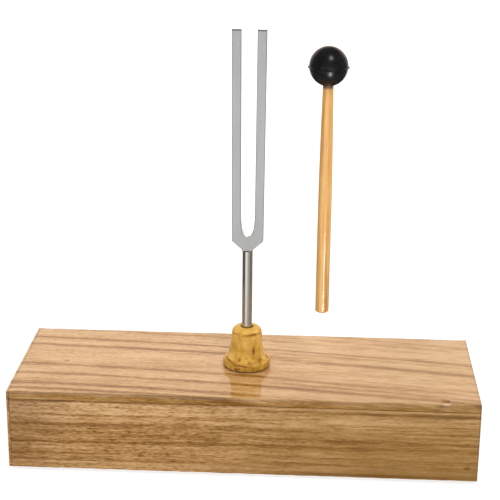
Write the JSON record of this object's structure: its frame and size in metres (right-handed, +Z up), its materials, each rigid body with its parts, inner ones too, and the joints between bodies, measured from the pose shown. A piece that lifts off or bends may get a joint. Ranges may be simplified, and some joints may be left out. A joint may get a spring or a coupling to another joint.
{
  "type": "tuning fork on resonance box with mallet",
  "caption": "Aluminium tuning fork on a steel stem in a turned wooden socket, on an open-ended wooden resonance box, with a rubber-headed mallet.",
  "frame": {"origin": "on the floor, under the middle of the box's footprint, which is also under the fork's stem", "axes": "+X along the box towards its open end, +Y across it towards its back, +Z up along the stem"},
  "size_m": [0.31, 0.11, 0.2883],
  "materials": {
    "top_wood": "glossy varnish",
    "side_wood": "glossy varnish",
    "inner_wood": "bare",
    "socket_wood": "semi-gloss varnish",
    "handle_wood": "glossy varnish",
    "aluminium": "brushed",
    "steel": "polished",
    "black_rubber": "semi-gloss",
    "foot_rubber": "matte"
  },
  "bodies": {
    "resonance_box": {"top_board": "top_wood", "bottom_board": "side_wood", "front_board": "side_wood", "back_board": "side_wood", "end_board": "side_wood", "glue_strip_front_top": "inner_wood", "glue_strip_back_top": "inner_wood", "glue_strip_front_bottom": "inner_wood", "glue_strip_back_bottom": "inner_wood", "top_block": "inner_wood", "foot_front_left": "foot_rubber", "foot_front_right": "foot_rubber", "foot_back_left": "foot_rubber", "foot_back_right": "foot_rubber", "stem_socket": "socket_wood", "socket_screw": "steel", "socket_washer": "steel"},
    "fork_stem": {"stem": "steel"},
    "fork_prongs": {"fork": "aluminium"},
    "mallet": {"mallet_handle": "handle_wood", "mallet_head": "black_rubber"}
  },
  "joints": [
    {"name": "fork_lift", "type": "slide", "parent": "resonance_box", "child": "fork_stem", "axis": [0, 0, 1], "range_m": [0, 0.045]},
    {"name": "fork_turn", "type": "hinge", "parent": "fork_stem", "child": "fork_prongs", "pos_m": [0, 0, 0.1403], "axis": [0, 0, 1], "continuous": true},
    {"name": "mallet_swing", "type": "hinge", "parent": "resonance_box", "child": "mallet", "pos_m": [0.0505, 0, 0.1073], "axis": [0, 1, 0], "range_deg": [-9, 25]}
  ]
}
